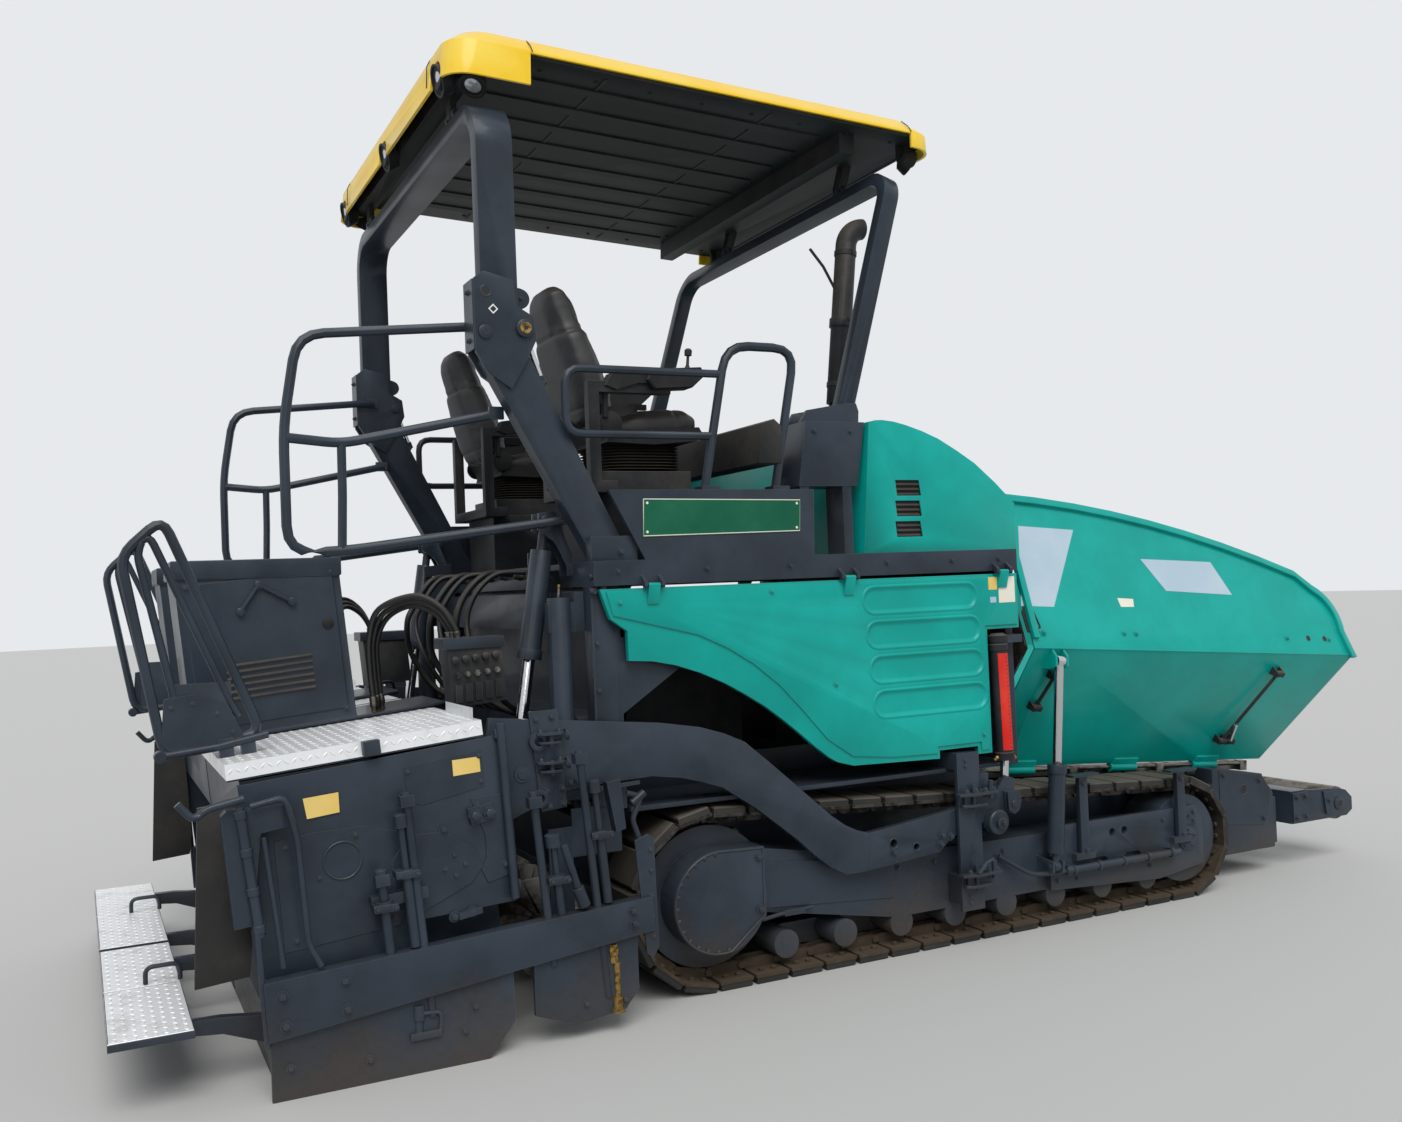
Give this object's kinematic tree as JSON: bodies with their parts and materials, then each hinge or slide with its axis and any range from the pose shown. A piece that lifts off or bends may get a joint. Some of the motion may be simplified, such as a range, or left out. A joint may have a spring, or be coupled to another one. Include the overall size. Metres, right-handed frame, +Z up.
{
  "type": "tracked asphalt paver",
  "caption": "Tracked road paver: folding hopper in front, twin conveyors, operator deck under a folding roof, and an extending screed on tow arms behind.",
  "frame": {"origin": "on the ground, under the middle of the outer box", "axes": "+X forward towards the hopper, +Y to the machine's left, +Z up"},
  "size_m": [6.47, 2.84, 3.9686],
  "materials": {
    "teal_paint": "semi-gloss teal paint on pressed panels",
    "grey_paint": "satin dark blue-grey paint",
    "yellow_paint": "gloss yellow paint on the roof shell",
    "black_paint": "satin black paint",
    "seat_black": "black seat upholstery",
    "black_plastic": "moulded black plastic",
    "track_steel": "dark steel links with rubber pads",
    "bare_steel": "worn bare steel",
    "chrome": "chromed rods and tubes"
  },
  "bodies": {
    "machine": {"chassis": "grey_paint", "body_frame": "grey_paint", "corner_posts": "grey_paint", "undercarriage_right": "grey_paint", "undercarriage_left": "grey_paint", "track_right": "track_steel", "track_left": "track_steel", "engine_block": "black_paint", "deck": "grey_paint", "hood": "teal_paint", "seat_bases": "black_paint", "seat_pads": "seat_black", "console": "black_plastic", "guard_rails": "grey_paint", "roof_struts": "grey_paint", "hopper_floor": "grey_paint", "conveyor": "bare_steel", "tow_guides": "grey_paint"},
    "rear_arch": {"rear_arch": "grey_paint"},
    "roof": {"roof_shell": "yellow_paint", "roof_lining": "black_plastic"},
    "front_arch": {"front_arch": "grey_paint"},
    "exhaust_stack": {"exhaust_stack": "black_paint"},
    "screed": {"tow_arms": "grey_paint", "screed_frame": "grey_paint", "cabinet_right": "grey_paint", "cabinet_left": "grey_paint"},
    "push_bar": {"push_bar": "grey_paint"},
    "wing_right": {"wing_right": "teal_paint"},
    "wing_cylinder_right": {"wing_barrel_right": "grey_paint"},
    "wing_rod_right": {"wing_rod_right": "chrome"},
    "side_panel_right": {"side_panel_right": "teal_paint"},
    "telescope_right": {"telescope_right": "chrome"},
    "lift_cylinder_right": {"lift_barrel_right": "grey_paint"},
    "lift_rod_right": {"lift_rod_right": "chrome"},
    "extension_right": {"extension_right": "grey_paint", "end_gate_right": "grey_paint", "walkway_right": "grey_paint"},
    "auger_right": {"auger_right": "bare_steel"},
    "push_roller_right": {"push_roller_right": "bare_steel"},
    "wing_left": {"wing_left": "teal_paint"},
    "wing_cylinder_left": {"wing_barrel_left": "grey_paint"},
    "wing_rod_left": {"wing_rod_left": "chrome"},
    "side_panel_left": {"side_panel_left": "teal_paint"},
    "telescope_left": {"telescope_left": "chrome"},
    "lift_cylinder_left": {"lift_barrel_left": "grey_paint"},
    "lift_rod_left": {"lift_rod_left": "chrome"},
    "extension_left": {"extension_left": "grey_paint", "end_gate_left": "grey_paint", "walkway_left": "grey_paint"},
    "auger_left": {"auger_left": "bare_steel"},
    "push_roller_left": {"push_roller_left": "bare_steel"}
  },
  "joints": [
    {"name": "roof_fold", "type": "hinge", "parent": "machine", "child": "rear_arch", "pos_m": [-1.665, 0, 2.74], "axis": [0, 1, 0], "range_deg": [0, 66]},
    {"name": "front_arch_fold", "type": "hinge", "parent": "machine", "child": "front_arch", "pos_m": [-0.145, 0, 2.45], "axis": [0, 1, 0], "range_deg": [0, 59.4]},
    {"name": "roof_tilt", "type": "hinge", "parent": "rear_arch", "child": "roof", "pos_m": [-1.82, 0, 3.7], "axis": [0, 1, 0], "range_deg": [-52.14, 0]},
    {"name": "stack_fold", "type": "hinge", "parent": "machine", "child": "exhaust_stack", "pos_m": [-0.015, -0.85, 2.475], "axis": [0, 1, 0], "range_deg": [0, 82.5]},
    {"name": "screed_lift", "type": "hinge", "parent": "machine", "child": "screed", "pos_m": [0.485, 0, 0.62], "axis": [0, 1, 0], "range_deg": [0, 6.5]},
    {"name": "wing_right_hinge", "type": "hinge", "parent": "machine", "child": "wing_right", "pos_m": [0.705, -0.847, 0.716], "axis": [0.9972, 0, -0.075], "range_deg": [0, 30]},
    {"name": "wing_cylinder_right_foot", "type": "hinge", "parent": "machine", "child": "wing_cylinder_right", "pos_m": [0.83917, -1.262, 0.29977], "axis": [0.9972, 0, -0.075], "range_deg": [0, 18.5]},
    {"name": "wing_rod_right_slide", "type": "slide", "parent": "wing_cylinder_right", "child": "wing_rod_right", "axis": [0.075, -0.0103, 0.9971], "range_m": [-0.24874, 0]},
    {"name": "side_panel_right_hinge", "type": "hinge", "parent": "machine", "child": "side_panel_right", "pos_m": [-0.335, -1.273, 1.706], "axis": [-1, 0, 0], "range_deg": [0, 85]},
    {"name": "lift_cylinder_right_pin", "type": "hinge", "parent": "machine", "child": "lift_cylinder_right", "pos_m": [-1.535, -0.96, 1.98], "axis": [0, 1, 0], "range_deg": [-2.31, 0]},
    {"name": "lift_rod_right_slide", "type": "slide", "parent": "lift_cylinder_right", "child": "lift_rod_right", "axis": [-0.1591, 0, -0.9873], "range_m": [-0.24901, 0]},
    {"name": "extension_right_slide", "type": "slide", "parent": "screed", "child": "extension_right", "axis": [0, -1, 0], "range_m": [0, 1.225]},
    {"name": "telescope_right_slide", "type": "slide", "parent": "screed", "child": "telescope_right", "axis": [0, -1, 0], "range_m": [0, 0.6125]},
    {"name": "auger_right_spin", "type": "hinge", "parent": "machine", "child": "auger_right", "pos_m": [-1.595, -0.6, 0.33], "axis": [0, 1, 0], "continuous": true},
    {"name": "push_roller_right_spin", "type": "hinge", "parent": "push_bar", "child": "push_roller_right", "pos_m": [3.125, -0.74, 0.315], "axis": [0, 1, 0], "continuous": true},
    {"name": "wing_left_hinge", "type": "hinge", "parent": "machine", "child": "wing_left", "pos_m": [0.705, 0.847, 0.716], "axis": [-0.9972, 0, 0.075], "range_deg": [0, 30]},
    {"name": "wing_cylinder_left_foot", "type": "hinge", "parent": "machine", "child": "wing_cylinder_left", "pos_m": [0.83917, 1.262, 0.29977], "axis": [-0.9972, 0, 0.075], "range_deg": [0, 18.5]},
    {"name": "wing_rod_left_slide", "type": "slide", "parent": "wing_cylinder_left", "child": "wing_rod_left", "axis": [0.075, 0.0103, 0.9971], "range_m": [-0.24874, 0]},
    {"name": "side_panel_left_hinge", "type": "hinge", "parent": "machine", "child": "side_panel_left", "pos_m": [-0.335, 1.273, 1.706], "axis": [1, 0, 0], "range_deg": [0, 85]},
    {"name": "lift_cylinder_left_pin", "type": "hinge", "parent": "machine", "child": "lift_cylinder_left", "pos_m": [-1.535, 0.96, 1.98], "axis": [0, 1, 0], "range_deg": [-2.31, 0]},
    {"name": "lift_rod_left_slide", "type": "slide", "parent": "lift_cylinder_left", "child": "lift_rod_left", "axis": [-0.1591, 0, -0.9873], "range_m": [-0.24901, 0]},
    {"name": "extension_left_slide", "type": "slide", "parent": "screed", "child": "extension_left", "axis": [0, 1, 0], "range_m": [0, 1.225]},
    {"name": "telescope_left_slide", "type": "slide", "parent": "screed", "child": "telescope_left", "axis": [0, 1, 0], "range_m": [0, 0.6125]},
    {"name": "auger_left_spin", "type": "hinge", "parent": "machine", "child": "auger_left", "pos_m": [-1.595, 0.6, 0.33], "axis": [0, 1, 0], "continuous": true},
    {"name": "push_roller_left_spin", "type": "hinge", "parent": "push_bar", "child": "push_roller_left", "pos_m": [3.125, 0.74, 0.315], "axis": [0, 1, 0], "continuous": true},
    {"name": "push_bar_swing", "type": "hinge", "parent": "machine", "child": "push_bar", "pos_m": [2.69, 0, 0.33], "axis": [0, 0, 1], "range_deg": [-4, 4]}
  ],
  "couplings": [
    {"joint": "front_arch_fold", "follows": "roof_fold", "ratio": 0.9},
    {"joint": "roof_tilt", "follows": "roof_fold", "ratio": -0.79},
    {"joint": "stack_fold", "follows": "roof_fold", "ratio": 1.25},
    {"joint": "wing_cylinder_right_foot", "follows": "wing_right_hinge", "ratio": 0.61668},
    {"joint": "wing_rod_right_slide", "follows": "wing_right_hinge", "m_per_rad": -0.47505},
    {"joint": "lift_cylinder_right_pin", "follows": "screed_lift", "ratio": -0.35523},
    {"joint": "lift_rod_right_slide", "follows": "screed_lift", "m_per_rad": -2.1949},
    {"joint": "telescope_right_slide", "follows": "extension_right_slide", "ratio": 0.5},
    {"joint": "wing_cylinder_left_foot", "follows": "wing_left_hinge", "ratio": 0.61668},
    {"joint": "wing_rod_left_slide", "follows": "wing_left_hinge", "m_per_rad": -0.47505},
    {"joint": "lift_cylinder_left_pin", "follows": "screed_lift", "ratio": -0.35523},
    {"joint": "lift_rod_left_slide", "follows": "screed_lift", "m_per_rad": -2.1949},
    {"joint": "telescope_left_slide", "follows": "extension_left_slide", "ratio": 0.5}
  ]
}
